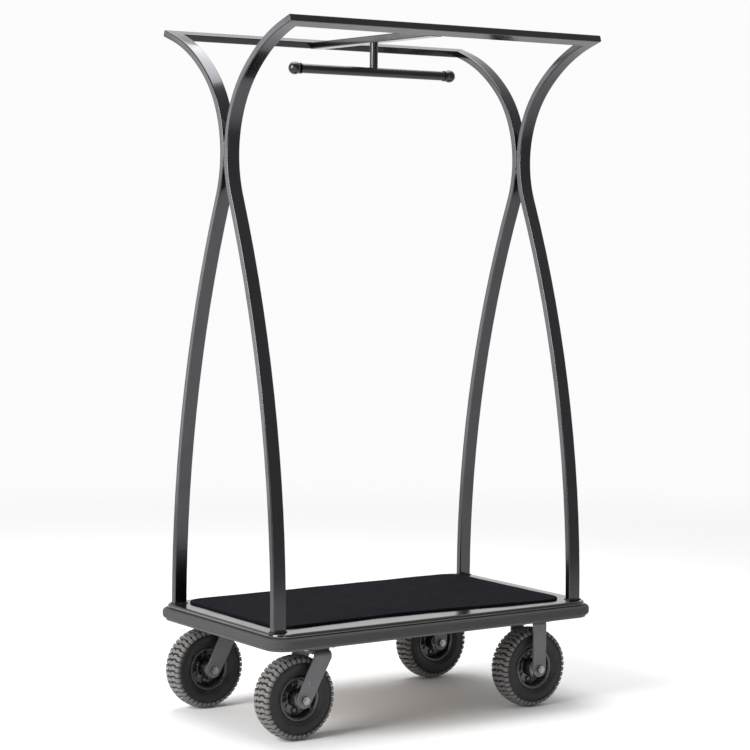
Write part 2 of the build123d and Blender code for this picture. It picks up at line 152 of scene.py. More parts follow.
class Graph:
    """The node tree of one material or of the world."""

    def __init__(self, tree: bpy.types.NodeTree) -> None:
        """Take an empty tree.

        Args:
            tree: The tree to fill; what it holds is removed.
        """
        self.tree = tree
        self.tree.nodes.clear()

    def node(self, kind: str, settings: dict | None = None,
             inputs: dict | None = None) -> bpy.types.Node:
        """Add a node, set it up and join its inputs.

        Args:
            kind: The node's type name.
            settings: Attributes, set before any input.
            inputs: Values, sockets or signals by input name or number.

        Returns:
            The new node.
        """
        made = self.tree.nodes.new(kind)
        for key, value in (settings or {}).items():
            setattr(made, key, value)
        for key, value in (inputs or {}).items():
            value = value.socket if isinstance(value, Signal) else value
            if isinstance(value, bpy.types.NodeSocket):
                self.tree.links.new(value, made.inputs[key])
            else:
                made.inputs[key].default_value = value
        return made

    def place(self, stretch: Point = (1, 1, 1)) -> bpy.types.NodeSocket:
        """The surface's own coordinates in metres, stretched along each axis."""
        coordinate = self.node("ShaderNodeTexCoord").outputs["Object"]
        inputs = {"Vector": coordinate, "Scale": stretch}
        return self.node("ShaderNodeMapping", None, inputs).outputs[0]

    def noise(self, scale: float, detail: float = 3.0, stretch: Point = (1, 1, 1)) -> Signal:
        """Soft fractal noise.

        Args:
            scale: Blotches per metre.
            detail: Number of finer layers.
            stretch: Extra scale along each axis.

        Returns:
            A number that averages one half.
        """
        inputs = {"Vector": self.place(stretch), "Scale": scale, "Detail": detail}
        return Signal(self, self.node("ShaderNodeTexNoise", None, inputs).outputs[0])

    def cells(self, scale: float) -> Signal:
        """The distance to the nearest of many scattered points, for grain and pile."""
        inputs = {"Vector": self.place(), "Scale": scale}
        return Signal(self, self.node("ShaderNodeTexVoronoi", None, inputs).outputs[0])

    def mark(self, name: str) -> Signal:
        """A number stored on the mesh itself."""
        node = self.node("ShaderNodeAttribute", {"attribute_name": name})
        return Signal(self, node.outputs["Fac"])

    def mix(self, share: Signal, low: object, high: object) -> bpy.types.NodeSocket:
        """Blend two colours.

        Args:
            share: 0 for the first colour, 1 for the second.
            low: First colour or socket.
            high: Second colour or socket.

        Returns:
            The blended colour's socket.
        """
        inputs = {0: share, 6: low, 7: high}
        return self.node("ShaderNodeMix", {"data_type": "RGBA"}, inputs).outputs[2]

    def bump(self, height: Signal, depth: float, strength: float = 1.0) -> bpy.types.NodeSocket:
        """Turn a height into a normal.

        Args:
            height: The relief, from 0 to 1.
            depth: Height of the relief in metres.
            strength: How far the normal follows it.

        Returns:
            The normal's socket.
        """
        inputs = {"Height": height, "Distance": depth, "Strength": strength}
        return self.node("ShaderNodeBump", None, inputs).outputs[0]

    def principled(self, **inputs: object) -> None:
        """End a material's tree in one Principled shader.

        Args:
            inputs: Its inputs, with underscores for the spaces in their names.
        """
        named = {key.replace("_", " "): value for key, value in inputs.items()}
        shader = self.node("ShaderNodeBsdfPrincipled", None, named)
        self.node("ShaderNodeOutputMaterial", None, {"Surface": shader.outputs[0]})


# --- Finishes -------------------------------------------------------------------------------
@dataclass(frozen=True)
class Finish:
    """One finish, made into a material the first time that it is used."""

    name: str

    def paint(self, graph: Graph) -> None:
        """Fill the material's tree.

        Args:
            graph: The empty tree.
        """
        raise NotImplementedError

    def material(self) -> bpy.types.Material:
        """The Blender material of this finish, made once."""
        known = bpy.data.materials.get(self.name)
        if known is not None:
            return known
        made = bpy.data.materials.new(self.name)
        made.use_nodes = True
        self.paint(Graph(made.node_tree))
        return made


@dataclass(frozen=True)
class PolishedMetal(Finish):
    """Plated or polished metal with fine brush lines and handling smudges."""

    base: Colour
    smudge: Colour
    roughness: float
    lines: Point = (1, 1, 1)
    line_depth: float = 4e-7
    lacquer: float = 0.0

    def paint(self, graph: Graph) -> None:
        """Brush lines turn the reflection and smudges dull it.

        Args:
            graph: The empty tree.
        """
        brushed = graph.noise(1100, 2, self.lines)
        hazy = graph.noise(9, 4).between(0.45, 0.72)
        spots = graph.noise(140, 2).between(0.64, 0.76)
        graph.principled(
            Base_Color=graph.mix(hazy * 0.6 + spots * 0.25, self.base, self.smudge),
            Metallic=1.0,
            Roughness=self.roughness + brushed * 0.04 + hazy * 0.05 + spots * 0.05,
            Coat_Weight=self.lacquer * (1 - hazy * 0.15),
            Coat_Roughness=0.03,
            Normal=graph.bump(brushed, self.line_depth),
        )


@dataclass(frozen=True)
class BakedPaint(Finish):
    """Sprayed and baked paint over steel, with orange peel, dust and small chips."""

    base: Colour
    dust: Colour
    chip: Colour
    roughness: float
    gloss: float = 0.25

    def paint(self, graph: Graph) -> None:
        """Orange peel in the relief, dust in noise patches and a few bare chips.

        Args:
            graph: The empty tree.
        """
        peel = graph.noise(420, 2)
        fine = graph.noise(1500, 1)
        dusty = graph.noise(30, 5).between(0.42, 0.75)
        chips = graph.noise(170, 4).between(0.7, 0.715)
        colour = graph.mix(dusty * 0.55, self.base, self.dust)
        graph.principled(
            Base_Color=graph.mix(chips, colour, self.chip),
            Metallic=chips * 0.8,
            Roughness=self.roughness + peel * 0.1 + dusty * 0.12 - chips * 0.1,
            Coat_Weight=self.gloss * (1 - chips),
            Coat_Roughness=0.25,
            Normal=graph.bump(peel + fine * 0.25 - chips * 0.8, 6e-5),
        )


@dataclass(frozen=True)
class Rubber(Finish):
    """Black rubber that shows mould grain, dust and, where marked, lighter tread tops: part wear,
    part painted highlight.
    """

    base: Colour
    dust: Colour
    lighter: Colour
    roughness: float
    grain: float = 3e-5

    def paint(self, graph: Graph) -> None:
        """Dust lies in patches; the mark named tread is rougher and lighter, part wear and part
        painted highlight.

        Args:
            graph: The empty tree.
        """
        tread = graph.mark("tread")
        patch = graph.noise(38, 5).between(0.35, 0.75)
        specks = graph.noise(520, 3).between(0.55, 0.7)
        grain = graph.noise(1300, 3)
        dull = graph.mix(patch * 0.7 + specks * 0.2, self.base, self.dust)
        # painted highlight: the tread tops are mixed towards the lighter colour, which stands
        # partly for wear and partly for light on the lug faces
        pale_mark = tread * (0.55 + graph.noise(90, 4) * 0.7)
        graph.principled(
            Base_Color=graph.mix(pale_mark, dull, self.lighter),
            Roughness=self.roughness + patch * 0.1 + tread * 0.12,
            Specular_IOR_Level=0.34,
            Normal=graph.bump(grain + specks * 0.5, self.grain),
        )


@dataclass(frozen=True)
class Vinyl(Finish):
    """Extruded soft vinyl with a leathery grain, drawn lines and scuffs."""

    base: Colour
    pale_mark: Colour
    roughness: float

    def paint(self, graph: Graph) -> None:
        """A fine pebbled grain, long soft waves and pale scuffs.

        Args:
            graph: The empty tree.
        """
        pebbles = graph.cells(700)
        drawn = graph.noise(300, 2, (0.06, 0.06, 1))
        rubbed = graph.noise(22, 6, (1, 1, 2.5)).between(0.52, 0.8)
        graph.principled(
            Base_Color=graph.mix(rubbed * 0.6, self.base, self.pale_mark),
            Roughness=self.roughness + rubbed * 0.12 + pebbles * 0.08,
            Specular_IOR_Level=0.5,
            Normal=graph.bump(pebbles * 0.7 + drawn * 0.5, 5e-5),
        )


@dataclass(frozen=True)
class CutPile(Finish):
    """Dense cut-pile carpet with tufts, fibre direction and a slight sheen."""

    base: Colour
    tip: Colour
    fleck: Colour

    def paint(self, graph: Graph) -> None:
        """Tufts of two shades over a slow change of direction, with rare pale flecks.

        Args:
            graph: The empty tree.
        """
        tufts = graph.cells(330)
        fibres = graph.noise(1400, 2)
        sweep = graph.noise(11, 3)
        flecks = graph.noise(800, 1).between(0.72, 0.78)
        lighter = graph.noise(70, 4).between(0.3, 0.7)
        shade = graph.mix((1 - tufts) * 0.4 + sweep * 0.3 + lighter * 0.3, self.base, self.tip)
        graph.principled(
            Base_Color=graph.mix(flecks * 0.4, shade, self.fleck),
            Roughness=0.9 + fibres * 0.1,
            Specular_IOR_Level=0.02,
            Sheen_Weight=0.01,
            Sheen_Roughness=0.5,
            Normal=graph.bump(fibres * 0.6 - tufts * 1.2, 1.6e-3, 0.9),
        )


@dataclass(frozen=True)
class Plywood(Finish):
    """Birch plywood: long grain on the faces, darkened by age."""

    base: Colour
    grain: Colour

    def paint(self, graph: Graph) -> None:
        """Grain lines along X with softer figure across them.

        Args:
            graph: The empty tree.
        """
        lines = graph.noise(120, 5, (0.05, 1, 1.6))
        figure = graph.noise(9, 3, (0.3, 1, 1))
        graph.principled(
            Base_Color=graph.mix(lines * 0.7 + figure * 0.4, self.base, self.grain),
            Roughness=0.62 + lines * 0.15,
            Normal=graph.bump(lines, 8e-5),
        )


class Finishes(Enum):
    """Every finish on the cart."""

    TUBE = PolishedMetal("black_nickel_tube", (0.07, 0.067, 0.074, 1), grey(0.058, 0.0), 0.15,
                         (1, 1, 0.02), 1e-7, 0.22)
    HANGER = PolishedMetal("satin_nickel_rail", grey(0.06, 0.0), grey(0.048, 0.02), 0.27,
                           (0.02, 1, 1), 1e-7, 0.06)
    DECK = PolishedMetal("black_nickel_deck", grey(0.09, 0.0), grey(0.07, 0.02), 0.1,
                         (0.02, 0.02, 1), 1.5e-7, 0.0)
    FORK = BakedPaint("caster_paint", (0.094, 0.09, 0.098, 1), (0.125, 0.12, 0.127, 1), grey(0.3),
                      0.36, 0.35)
    CHASSIS = BakedPaint("chassis_paint", grey(0.03), grey(0.06, 0.03), grey(0.3), 0.5)
    RIM = BakedPaint("rim_paint", grey(0.012), grey(0.026, 0.05), grey(0.3), 0.2, 0.8)
    ZINC = PolishedMetal("bright_zinc", grey(0.55, -0.02), grey(0.35, 0.04), 0.26)
    AXLE = PolishedMetal("axle_steel", grey(0.3, -0.02), grey(0.18, 0.04), 0.22)
    BLACK_BOLT = PolishedMetal("black_oxide_bolt", grey(0.1), grey(0.16, 0.03), 0.3)
    BEARING = PolishedMetal("bearing_steel", grey(0.3), grey(0.18, 0.1), 0.3, (1, 0.1, 1))
    BRASS = PolishedMetal("valve_brass", (0.2, 0.155, 0.115, 1), (0.1, 0.08, 0.06, 1), 0.36)
    # tyre: its third colour lightens the tread tops, part wear and part painted highlight
    TYRE = Rubber("tyre_rubber", (0.0098, 0.0092, 0.0095, 1), (0.022, 0.0205, 0.0205, 1),
                  grey(0.16, 0.03), 0.4)
    GASKET = Rubber("gasket_rubber", grey(0.02), grey(0.04, 0.05), grey(0.05), 0.6)
    BUMPER = Vinyl("bumper_vinyl", grey(0.034, -0.04), grey(0.075, -0.02), 0.42)
    CARPET = CutPile("carpet_pile", (0.004, 0.0036, 0.0052, 1), (0.014, 0.0125, 0.0175, 1),
                     (0.06, 0.055, 0.07, 1))
    BOARD = Plywood("birch_plywood", (0.42, 0.27, 0.14, 1), (0.2, 0.11, 0.05, 1))

    def material(self) -> bpy.types.Material:
        """The Blender material of this member."""
        return self.value.material()


# --- Mesh tools -----------------------------------------------------------------------------
def edges_of(geometry: Iterable) -> list:
    """The edges in a mix of mesh elements."""
    return [g for g in geometry if isinstance(g, bmesh.types.BMEdge)]


def verts_of(geometry: Iterable) -> list:
    """The vertices in a mix of mesh elements."""
    return [g for g in geometry if isinstance(g, bmesh.types.BMVert)]


def piece(name: str, bm: bmesh.types.BMesh, finish: Finishes, body: str,
          nodes: Sequence[str], crease: float = 35.0) -> bpy.types.Object:
    """Turn a finished bmesh into a piece of the cart.

    Args:
        name: Name of the object.
        bm: The shape; it is freed.
        finish: Its finish.
        body: The body that it rides on.
        nodes: The frame nodes that it stands for.
        crease: Angle in degrees over which an edge is sharp.

    Returns:
        The new object.
    """
    bmesh.ops.remove_doubles(bm, verts=bm.verts[:], dist=MERGE)
    bmesh.ops.recalc_face_normals(bm, faces=bm.faces[:])
    mesh = bpy.data.meshes.new(name)
    bm.to_mesh(mesh)
    bm.free()
    mesh.shade_smooth()
    mesh.set_sharp_from_angle(angle=math.radians(crease))
    made = bpy.data.objects.new(name, mesh)
    bpy.context.scene.collection.objects.link(made)
    mesh.materials.append(finish.material())
    flats = made.modifiers.new("flat_faces", "WEIGHTED_NORMAL")
    flats.keep_sharp = True
    flats.weight = 100
    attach(made, body)
    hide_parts(*nodes)
    LOG.info("%s: %d faces on %s", name, len(mesh.polygons), body)
    return made


def rounded_section(bm: bmesh.types.BMesh, width: float, depth: float,
                    radius: float, turn: Matrix) -> list:
    """Draw the outline of a rounded rectangular tube as one face.

    Args:
        bm: The bmesh to draw in.
        width: Size along the section's own X.
        depth: Size along the section's own Y.
        radius: Corner radius.
        turn: Place of the section.

    Returns:
        The outline's edges.
    """
    verts = bmesh.ops.create_grid(bm, x_segments=1, y_segments=1, size=0.5)["verts"]
    bmesh.ops.scale(bm, vec=(width, depth, 1), verts=verts)
    bmesh.ops.bevel(bm, geom=verts, offset=radius, offset_type="OFFSET", segments=4,
                    profile=0.5, affect="VERTICES", material=-1)
    bmesh.ops.transform(bm, matrix=turn, verts=bm.verts[:])
    return bm.edges[:]


def draw_out(bm: bmesh.types.BMesh, edges: list, step: Vector) -> list:
    """Extrude open edges by a step.

    Args:
        bm: The bmesh.
        edges: The edges to extrude.
        step: How far they move.

    Returns:
        The new edges at the far end.
    """
    made = bmesh.ops.extrude_edge_only(bm, edges=edges)["geom"]
    bmesh.ops.translate(bm, vec=step, verts=verts_of(made))
    return edges_of(made)


def cut_off(bm: bmesh.types.BMesh, point: Point, normal: Point, outer: bool) -> None:
    """Cut a shape with a plane, drop one side and close the cut.

    Args:
        bm: The bmesh.
        point: A point on the plane.
        normal: The plane's normal.
        outer: Drop the side that the normal points to, or else the other one.
    """
    geometry = bm.verts[:] + bm.edges[:] + bm.faces[:]
    cut = bmesh.ops.bisect_plane(bm, geom=geometry, dist=MERGE, plane_co=point,
                                 plane_no=normal, clear_outer=outer, clear_inner=not outer)
    bmesh.ops.holes_fill(bm, edges=edges_of(cut["geom_cut"]), sides=0)


def lathe(bm: bmesh.types.BMesh, points: Sequence[tuple[float, float]],
          steps: int) -> list:
    """Spin a profile of (radius, y) points round the Y axis.

    Args:
        bm: The bmesh.
        points: The profile, in order.
        steps: Number of steps round.

    Returns:
        Every vertex of the spun shape.
    """
    verts = [bm.verts.new((radius, y, 0)) for radius, y in points]
    edges = [bm.edges.new(pair) for pair in zip(verts, verts[1:])]
    bmesh.ops.spin(bm, geom=verts + edges, cent=(0, 0, 0), axis=(0, 1, 0),
                   angle=math.tau, steps=steps, use_merge=True, use_duplicate=False)
    return bm.verts[:]


# --- Bent-tube frame ------------------------------------------------------------------------
@dataclass
class TubeFrame:
    """Four bent uprights, two top rails and the crossbar, as polished oval-cornered tube."""

    width: float = 0.038
    depth: float = 0.019
    corner: float = 0.003
    half_x: float = 0.500
    post_y: float = 0.254
    post_z: float = 0.288
    waist_rise: float = 1.212
    waist_gap: float = 0.0004
    tip_rise: float = 1.544
    tip_spread: float = 0.320
    tip_angle: float = math.radians(72)
    change_angle: float = math.radians(45)
    tip_straight: float = 0.045
    crossbar_x: float = -0.030
    step: float = math.radians(1.6)
    fewest_steps: int = 6
    overrun: float = 0.002

    def arcs(self) -> list[tuple[tuple[float, float], float, float]]:
        """The bends in order from the foot.

        Returns:
            For each bend its centre (y, z), start heading and end heading.
        """
        waist_y = (self.depth + self.waist_gap) / 2
        tip, change = self.tip_angle, self.change_angle
        lean = 2 * math.atan((self.post_y - waist_y) / self.waist_rise)
        out = self.tip_spread - waist_y - self.tip_straight * math.sin(tip)
        rise = self.tip_rise - self.waist_rise - self.tip_straight * math.cos(tip)
        a, b = 1 - math.cos(change), math.cos(change) - math.cos(tip)
        c, d = math.sin(change), math.sin(tip) - math.sin(change)
        waist_r = (out * d - rise * b) / (a * d - b * c)
        upper_r = (a * rise - c * out) / (a * d - b * c)
        lower_r = self.waist_rise / math.sin(lean) - waist_r
        y, z, heading, bends = self.post_y, self.post_z, 0.0, []
        for radius, end in ((-lower_r, -lean), (waist_r, change), (upper_r, tip)):
            centre = (y + radius * math.cos(heading), z - radius * math.sin(heading))
            bends.append((centre, heading, end))
            y = centre[0] - radius * math.cos(end)
            z = centre[1] + radius * math.sin(end)
            heading = end
        return bends

    def tip(self) -> tuple[Vector, Vector]:
        """The outer point of a left back corner and the direction of the tube there."""
        towards = Vector((0, math.sin(self.tip_angle), math.cos(self.tip_angle)))
        return Vector((-self.half_x, self.tip_spread, self.post_z + self.tip_rise)), towards

    def flipped(self, bm: bmesh.types.BMesh, side_x: int, side_y: int) -> None:
        """Carry the left back shape to another corner by the signs of X and Y."""
        bmesh.ops.scale(bm, vec=(-side_x, side_y, 1), verts=bm.verts[:])

    def upright(self, name: str, side_x: int, side_y: int) -> None:
        """Bend one upright and cut its mitre.

        Args:
            name: The node's name.
            side_x: -1 for left and 1 for right.
            side_y: -1 for front and 1 for back.
        """
        bm = bmesh.new()
        centre = (self.width / 2 - self.half_x, self.post_y, self.post_z)
        edges = rounded_section(bm, self.width, self.depth, self.corner,
                                Matrix.Translation(centre))
        for (y, z), start, end in self.arcs():
            steps = max(self.fewest_steps, math.ceil(abs(end - start) / self.step))
            spun = bmesh.ops.spin(bm, geom=edges, cent=(0, y, z), axis=(1, 0, 0),
                                  angle=start - end, steps=steps, use_duplicate=False)
            edges = edges_of(spun["geom_last"])
        corner, towards = self.tip()
        edges = draw_out(bm, edges, towards * (self.tip_straight + self.overrun))
        bmesh.ops.holes_fill(bm, edges=edges, sides=0)
        cut_off(bm, corner, Vector((1, 0, 0)) + towards, True)
        self.flipped(bm, side_x, side_y)
        piece(f"{name}_tube", bm, Finishes.TUBE, "chassis", [name])

    def rail(self, name: str, side_y: int) -> None:
        """Draw one top rail and mitre both its ends.

        Args:
            name: The node's name.
            side_y: -1 for front and 1 for back.
        """
        bm = bmesh.new()
        corner, towards = self.tip()
        across = Vector((0, -towards.z, towards.y))
        centre = corner - towards * self.width / 2
        turn = Matrix.Translation(centre) @ Matrix(
            ((0, 0, 1), (towards.y, across.y, 0), (towards.z, across.z, 0))).to_4x4()
        edges = rounded_section(bm, self.width, self.depth, self.corner, turn)
        edges = draw_out(bm, edges, Vector((2 * self.half_x, 0, 0)))
        bmesh.ops.holes_fill(bm, edges=edges, sides=0)
        cut_off(bm, corner, Vector((1, 0, 0)) + towards, False)
        cut_off(bm, Vector((self.half_x, *corner.yz)), Vector((-1, 0, 0)) + towards, False)
        self.flipped(bm, -1, side_y)
        piece(f"{name}_tube", bm, Finishes.TUBE, "chassis", [name])

    def crossbar(self) -> None:
        """Draw the crossbar and cut both ends to the rails' inner faces."""
        bm = bmesh.new()
        corner, towards = self.tip()
        face = corner - towards * self.width
        turn = Matrix.Translation((self.crossbar_x, -face.y - self.depth, face.z)) @ (
            Matrix.Rotation(math.radians(-90), 4, "X"))
        edges = rounded_section(bm, self.width, self.depth, self.corner, turn)
        edges = draw_out(bm, edges, Vector((0, 2 * (face.y + self.depth), 0)))
        bmesh.ops.holes_fill(bm, edges=edges, sides=0)
        for side in (1, -1):
            cut_off(bm, (0, side * face.y, face.z), (0, side * towards.y, towards.z), True)
        piece("crossbar_tube", bm, Finishes.TUBE, "chassis", ["crossbar"])

    def build(self) -> None:
        """Make every tube of the frame."""
        for word_x, side_x in (("left", -1), ("right", 1)):
            for word_y, side_y in (("back", 1), ("front", -1)):
                self.upright(f"upright_{word_y}_{word_x}", side_x, side_y)
        self.rail("top_rail_back", 1)
        self.rail("top_rail_front", -1)
        self.crossbar()


# --- Carpet ---------------------------------------------------------------------------------
@dataclass
class Carpet:
    """The cut-pile carpet laid on the deck board, with a soft rolled edge."""

    node: str = "carpet"
    corner: float = 0.050
    cell: float = 0.006
    ripple: float = 0.0005
    bow: float = 0.031
    bow_x: float = -0.06
    bow_half: float = 0.30
    skew: float = 0.022
    front_share: float = 0.45
    roll: float = 0.45
    waves: tuple[Point, ...] = ((37.0, 11.0, 1.0), (-19.0, 53.0, 0.8))

    def cut(self, bm: bmesh.types.BMesh, low: Vector, size: Vector) -> None:
        """Split the carpet into small squares, so that it can be bent and ruffled.

        Args:
            bm: The carpet's flat shape.
            low: Its lowest corner.
            size: Its size along each axis.
        """
        pitch = self.cell * 2
        for axis, reach in ((0, size.x), (1, size.y)):
            normal = Vector((1 - axis, axis, 0))
            for i in range(1, int(reach / pitch)):
                geometry = bm.verts[:] + bm.edges[:] + bm.faces[:]
                bmesh.ops.bisect_plane(bm, geom=geometry, dist=MERGE,
                                       plane_co=low + normal * i * pitch, plane_no=normal)

    def ruffle(self, vert: bmesh.types.BMVert, low: Vector, size: Vector) -> None:
        """Draw the front edge back in a shallow bow and lift the pile in slow waves.

        Args:
            vert: The vertex to move.
            low: The carpet's lowest corner.
            size: Its size along each axis.
        """
        near_front = max(0.0, 1 - (vert.co.y - low.y) / (self.front_share * size.y))
        along = math.exp(-((vert.co.x - self.bow_x) / self.bow_half) ** 2)
        left = min(1.0, max(0.0, 0.5 - vert.co.x / size.x))
        vert.co.y += (self.bow * along + self.skew * left) * near_front ** 2
        if vert.co.z > low.z + size.z / 2:
            wave = sum(share * math.sin(pace_x * vert.co.x + pace_y * vert.co.y)
                       for pace_x, pace_y, share in self.waves)
            vert.co.z += self.ripple * wave / sum(share for _, _, share in self.waves)

    def build(self) -> None:
        """Cut the carpet to the node's outline, round its edge and ruffle its top."""
        low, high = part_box(self.node)
        size, centre = high - low, (low + high) / 2
        bm = bmesh.new()
        made = bmesh.ops.create_grid(bm, x_segments=1, y_segments=1, size=0.5)["verts"]
        bmesh.ops.scale(bm, vec=(size.x, size.y, 1), verts=made)
        bmesh.ops.bevel(bm, geom=made, offset=self.corner, offset_type="OFFSET", segments=6,
                        profile=0.5, affect="VERTICES", material=-1)
        bmesh.ops.translate(bm, vec=(centre.x, centre.y, low.z), verts=bm.verts[:])
        raised = bmesh.ops.extrude_face_region(bm, geom=bm.faces[:], use_keep_orig=True)
        bmesh.ops.translate(bm, vec=(0, 0, size.z - self.ripple), verts=verts_of(raised["geom"]))
        rim = [e for e in bm.edges if all(v.co.z > centre.z for v in e.verts)]
        bmesh.ops.bevel(bm, geom=rim, offset=size.z * self.roll, offset_type="OFFSET", segments=5,
                        profile=0.5, affect="EDGES", material=-1)
        top = [f for f in bm.faces if f.normal.z > 0.999 and f.calc_center_median().z > centre.z]
        bmesh.ops.triangulate(bm, faces=top)
        self.cut(bm, low, size)
        for vert in bm.verts:
            self.ruffle(vert, low, size)
        rug = piece("carpet_pile_sheet", bm, Finishes.CARPET, "chassis", [self.node],
                    crease=60)


# --- Wheels ---------------------------------------------------------------------------------
@dataclass
class Wheel:
    """One wheel: a moulded tyre with transverse tread bars, on a pressed rim.

    Profiles are (radius, y) points from the middle outwards. Each station of a tread bar is its
    y, its shift round the wheel, the radius of its foot, the radius of its top, where 0 means
    the crown's, and its share of the bar's width.
    """

    word: str
    centre: Vector
    body: str
    radius: float = 0.109
    bars: int = 43
    bar_share: float = 0.28
    groove: float = 0.0062
    crown_drop: float = 0.0053
    crown_half: float = 0.0277
    tread_floor: tuple[float, ...] = (0.022, 0.016, 0.009, 0.0)
    bore: float = 0.0545
    bore_half: float = 0.0150
    bar_flare: float = 1.08
    bar_sink: float = 0.0001
    bar_round: float = 0.0011
    bosses: int = 4
    boss_ring: float = 0.0345
    tyre_steps: int = 96
    rim_steps: int = 72
    boss_steps: int = 24
    sidewall: Profile = (
        (0.0524, 0.0195), (0.0522, 0.0235), (0.0538, 0.0248), (0.0580, 0.0250), (0.0592, 0.0262),
        (0.0600, 0.0278), (0.0612, 0.0284), (0.0622, 0.0284), (0.0632, 0.0287), (0.0650, 0.0298),
        (0.0680, 0.0311), (0.0702, 0.0318), (0.0706, 0.0324), (0.0722, 0.0327), (0.0727, 0.0322),
        (0.0760, 0.0326), (0.0806, 0.0329), (0.0850, 0.0327), (0.0872, 0.0325), (0.0876, 0.0329),
        (0.0892, 0.0326), (0.0897, 0.0320), (0.0925, 0.0313), (0.0950, 0.0300), (0.0972, 0.0282),
        (0.0986, 0.0262),
    )
    tread_bar: tuple[tuple[float, ...], ...] = (
        (0.0327, -0.0016, 0.0920, 0.0962, 0.8), (0.0324, -0.0016, 0.0930, 0.0996, 1.15),
        (0.0296, -0.0016, 0.0945, 0.0, 1.3), (0.0255, -0.0012, 0.0955, 0.0, 1.2),
        (0.0222, 0.0006, 0.0965, 0.0, 0.7), (0.0192, 0.0022, 0.0970, 0.0, 1.1),
        (0.0140, 0.0024, 0.0975, 0.0, 1.3), (0.0098, 0.0018, 0.0985, 0.0, 1.1),
        (0.0066, 0.0, 0.0990, 0.0, 0.7), (0.0036, -0.0012, 0.0990, 0.0, 1.1),
        (0.0010, -0.0012, 0.0990, 0.0, 1.2),
    )
    rim_half: Profile = (
        (0.0519, 0.0225), (0.0524, 0.0240), (0.0536, 0.0249), (0.0566, 0.0251), (0.0577, 0.0256),
        (0.0580, 0.0265), (0.0575, 0.0273), (0.0562, 0.0275), (0.0540, 0.0272), (0.0518, 0.0262),
        (0.0504, 0.0248), (0.0497, 0.0230), (0.0495, 0.0200), (0.0495, 0.0130), (0.0490, 0.0095),
        (0.0475, 0.0060), (0.0455, 0.0038), (0.0430, 0.0028), (0.0400, 0.0025), (0.0250, 0.0025),
        (0.0228, 0.0032), (0.0214, 0.0052), (0.0210, 0.0085), (0.0210, 0.0250), (0.0204, 0.0258),
        (0.0195, 0.0260), (0.0161, 0.0260), (0.0161, 0.0159), (0.0130, 0.0159),
    )
    boss_cup: Profile = (
        (0.0, 0.0030), (0.0052, 0.0031), (0.0064, 0.0044), (0.0071, 0.0062), (0.0080, 0.0068),
        (0.0091, 0.0064), (0.0101, 0.0048), (0.0112, 0.0022),
    )

    def crown(self, y: float) -> float:
        """Radius of the tread's top at a distance from the wheel's middle."""
        return self.radius - self.crown_drop * (y / self.crown_half) ** 2

    def carcass(self, bm: bmesh.types.BMesh) -> None:
        """Spin the casing: beads, ribbed sidewalls and the floor of the tread.

        Args:
            bm: The bmesh to draw in.
        """
        floor = [(self.crown(y) - self.groove, y) for y in self.tread_floor]
        half = [*self.sidewall, *floor]
        profile = half + [(radius, -y) for radius, y in reversed(half[:-1])]
        profile += [(self.bore, -self.bore_half), (self.bore, self.bore_half), profile[0]]
        lathe(bm, profile, self.tyre_steps)

    def bar(self, bm: bmesh.types.BMesh) -> None:
        """Draw one zigzag tread bar from shoulder to shoulder, then repeat it round.

        Args:
            bm: The bmesh to draw in.
        """
        layer = bm.verts.layers.float["tread"]
        known = set(bm.verts)
        stations = [(-y, -shift, *rest) for y, shift, *rest in self.tread_bar]
        stations += self.tread_bar[::-1]
        width = math.tau * self.radius / self.bars * self.bar_share
        rings = []
        for y, shift, low, high, slim in stations:
            high = high or self.crown(y) - self.bar_sink
            foot, top = width * slim * self.bar_flare, width * slim
            corners = [(shift - foot, low), (shift + foot, low),
                       (shift + top, high), (shift - top, high)]
            rings.append([bm.verts.new((r, y, s)) for s, r in corners])
            # the tread mark on the bar tops lightens them in the tyre finish: part wear, part
            # painted highlight
            for vert in rings[-1][2:]:
                vert[layer] = 1.0
        loops = [[bm.edges.new((ring[i], ring[(i + 1) % 4])) for i in range(4)]
                 for ring in rings]
        for first, second in zip(loops, loops[1:]):
            bmesh.ops.bridge_loops(bm, edges=first + second)
        for ends in (loops[0], loops[-1]):
            bmesh.ops.contextual_create(bm, geom=ends)
        new = [v for v in bm.verts if v not in known]
        edges = {e for v in new for e in v.link_edges}
        ridge = [e for e in edges if all(v[layer] > 0.5 for v in e.verts)
                 and abs(e.verts[0].co.y - e.verts[1].co.y) > 1e-4]
        tips = [e for ring in (rings[0], rings[-1]) for e in ring[2].link_edges
                if e.other_vert(ring[2]) is ring[3]]
        bmesh.ops.bevel(bm, geom=ridge + tips, offset=self.bar_round, offset_type="OFFSET",
                        segments=2, profile=0.5, affect="EDGES", material=-1)
        new = [v for v in bm.verts if v not in known]
        faces = {f for v in new for f in v.link_faces}
        edges = {e for v in new for e in v.link_edges}
        bmesh.ops.spin(bm, geom=[*new, *edges, *faces], cent=(0, 0, 0), axis=(0, 1, 0),
                       angle=math.tau * (self.bars - 1) / self.bars, steps=self.bars - 1,
                       use_duplicate=True)

    def tyre(self) -> None:
        """Make the tyre at its place on the axle."""
        node = f"caster_{self.word}_tyre"
        bm = bmesh.new()
        bm.verts.layers.float.new("tread")
        self.carcass(bm)
        self.bar(bm)
        bmesh.ops.translate(bm, vec=self.centre, verts=bm.verts[:])
        piece(f"{node}_moulded", bm, Finishes.TYRE, self.body, [node], 40)

